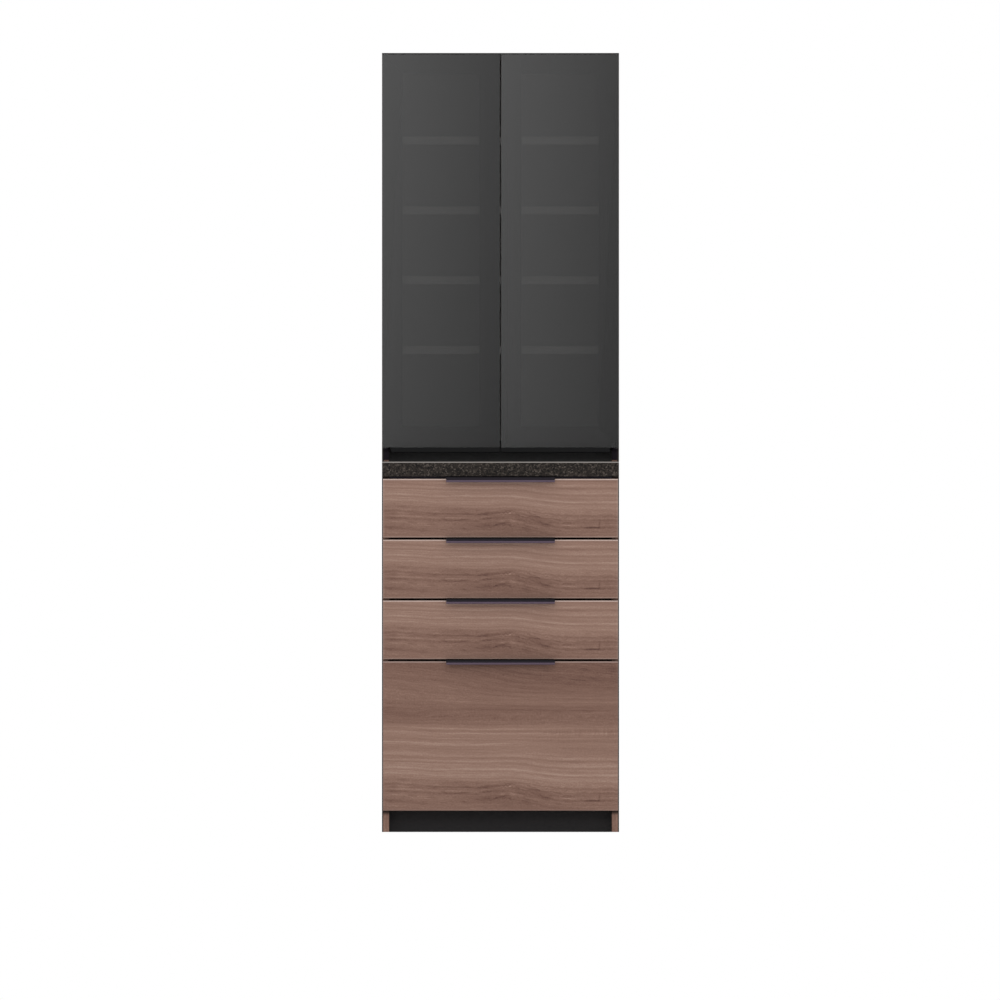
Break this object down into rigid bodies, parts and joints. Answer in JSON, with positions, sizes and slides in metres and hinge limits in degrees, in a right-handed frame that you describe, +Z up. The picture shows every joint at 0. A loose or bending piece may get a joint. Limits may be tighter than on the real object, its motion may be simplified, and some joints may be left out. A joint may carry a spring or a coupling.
{
  "type": "kitchen cupboard",
  "caption": "Tall kitchen cupboard with smoked-glass doors and shelves above a dark countertop, and walnut-finish drawers on telescopic slides below.",
  "frame": {"origin": "on the floor, at the middle of the cupboard's width and of its whole depth with the pulls", "axes": "+Z up, +X to the right seen from the front, +Y to the back; the front faces -Y"},
  "size_m": [0.6, 0.47, 1.972],
  "materials": {
    "walnut": "grey-brown walnut film on board",
    "interior": "pale grey melamine on board",
    "black_board": "matt black film on board",
    "counter": "dark speckled laminate on board",
    "smoked_glass": "smoked glass",
    "dark_aluminium": "black anodised",
    "black_steel": "black coating",
    "zinc_steel": "zinc-plated sheet",
    "nylon": "moulded",
    "beech": "turned dowel"
  },
  "bodies": {
    "cabinet": {"base_left_side": "walnut", "base_right_side": "walnut", "base_bottom_panel": "interior", "base_back_panel": "interior", "base_top_rails": "interior", "toe_kick_board": "black_board", "countertop": "counter", "drawer_outer_rails": "zinc_steel", "stacking_dowels": "beech", "upper_left_side": "walnut", "upper_right_side": "walnut", "upper_top_panel": "interior", "upper_bottom_panel": "interior", "upper_back_panel": "interior", "upper_base_rail": "black_board", "upper_wall_rail": "interior", "shelf_pegs": "zinc_steel", "door_pivot_brackets": "black_steel", "pivot_screws": "black_steel", "door_catches": "nylon", "shelf_1": "interior", "shelf_2": "interior", "shelf_3": "interior", "shelf_4": "interior"},
    "left_door": {"left_door_stiles": "black_board", "left_door_frame_rails": "black_board", "left_door_glass": "smoked_glass", "left_door_pull_strip": "dark_aluminium", "left_door_pivot_bushes": "nylon", "left_door_strike": "zinc_steel"},
    "right_door": {"right_door_stiles": "black_board", "right_door_frame_rails": "black_board", "right_door_glass": "smoked_glass", "right_door_pull_strip": "dark_aluminium", "right_door_pivot_bushes": "nylon", "right_door_strike": "zinc_steel"},
    "drawer_1": {"drawer_1_front": "walnut", "drawer_1_pull": "dark_aluminium", "drawer_1_box_walls": "interior", "drawer_1_bottom": "interior", "drawer_1_inner_rails": "zinc_steel"},
    "drawer_1_slides": {"drawer_1_middle_rails": "zinc_steel"},
    "drawer_2": {"drawer_2_front": "walnut", "drawer_2_pull": "dark_aluminium", "drawer_2_box_walls": "interior", "drawer_2_bottom": "interior", "drawer_2_inner_rails": "zinc_steel"},
    "drawer_2_slides": {"drawer_2_middle_rails": "zinc_steel"},
    "drawer_3": {"drawer_3_front": "walnut", "drawer_3_pull": "dark_aluminium", "drawer_3_box_walls": "interior", "drawer_3_bottom": "interior", "drawer_3_inner_rails": "zinc_steel"},
    "drawer_3_slides": {"drawer_3_middle_rails": "zinc_steel"},
    "drawer_4": {"drawer_4_front": "walnut", "drawer_4_pull": "dark_aluminium", "drawer_4_box_walls": "interior", "drawer_4_bottom": "interior", "drawer_4_inner_rails": "zinc_steel"},
    "drawer_4_slides": {"drawer_4_middle_rails": "zinc_steel"}
  },
  "joints": [
    {"name": "left_door_swing", "type": "hinge", "parent": "cabinet", "child": "left_door", "pos_m": [-0.2897, -0.155, 1.47075], "axis": [0, 0, -1], "range_deg": [0, 105]},
    {"name": "right_door_swing", "type": "hinge", "parent": "cabinet", "child": "right_door", "pos_m": [0.2897, -0.155, 1.47075], "axis": [0, 0, 1], "range_deg": [0, 105]},
    {"name": "drawer_1_slide", "type": "slide", "parent": "cabinet", "child": "drawer_1", "axis": [0, -1, 0], "range_m": [0, 0.38]},
    {"name": "drawer_1_middle_slide", "type": "slide", "parent": "cabinet", "child": "drawer_1_slides", "axis": [0, -1, 0], "range_m": [0, 0.19]},
    {"name": "drawer_2_slide", "type": "slide", "parent": "cabinet", "child": "drawer_2", "axis": [0, -1, 0], "range_m": [0, 0.38]},
    {"name": "drawer_2_middle_slide", "type": "slide", "parent": "cabinet", "child": "drawer_2_slides", "axis": [0, -1, 0], "range_m": [0, 0.19]},
    {"name": "drawer_3_slide", "type": "slide", "parent": "cabinet", "child": "drawer_3", "axis": [0, -1, 0], "range_m": [0, 0.38]},
    {"name": "drawer_3_middle_slide", "type": "slide", "parent": "cabinet", "child": "drawer_3_slides", "axis": [0, -1, 0], "range_m": [0, 0.19]},
    {"name": "drawer_4_slide", "type": "slide", "parent": "cabinet", "child": "drawer_4", "axis": [0, -1, 0], "range_m": [0, 0.38]},
    {"name": "drawer_4_middle_slide", "type": "slide", "parent": "cabinet", "child": "drawer_4_slides", "axis": [0, -1, 0], "range_m": [0, 0.19]}
  ],
  "couplings": [
    {"joint": "drawer_1_middle_slide", "follows": "drawer_1_slide", "ratio": 0.5},
    {"joint": "drawer_2_middle_slide", "follows": "drawer_2_slide", "ratio": 0.5},
    {"joint": "drawer_3_middle_slide", "follows": "drawer_3_slide", "ratio": 0.5},
    {"joint": "drawer_4_middle_slide", "follows": "drawer_4_slide", "ratio": 0.5}
  ]
}
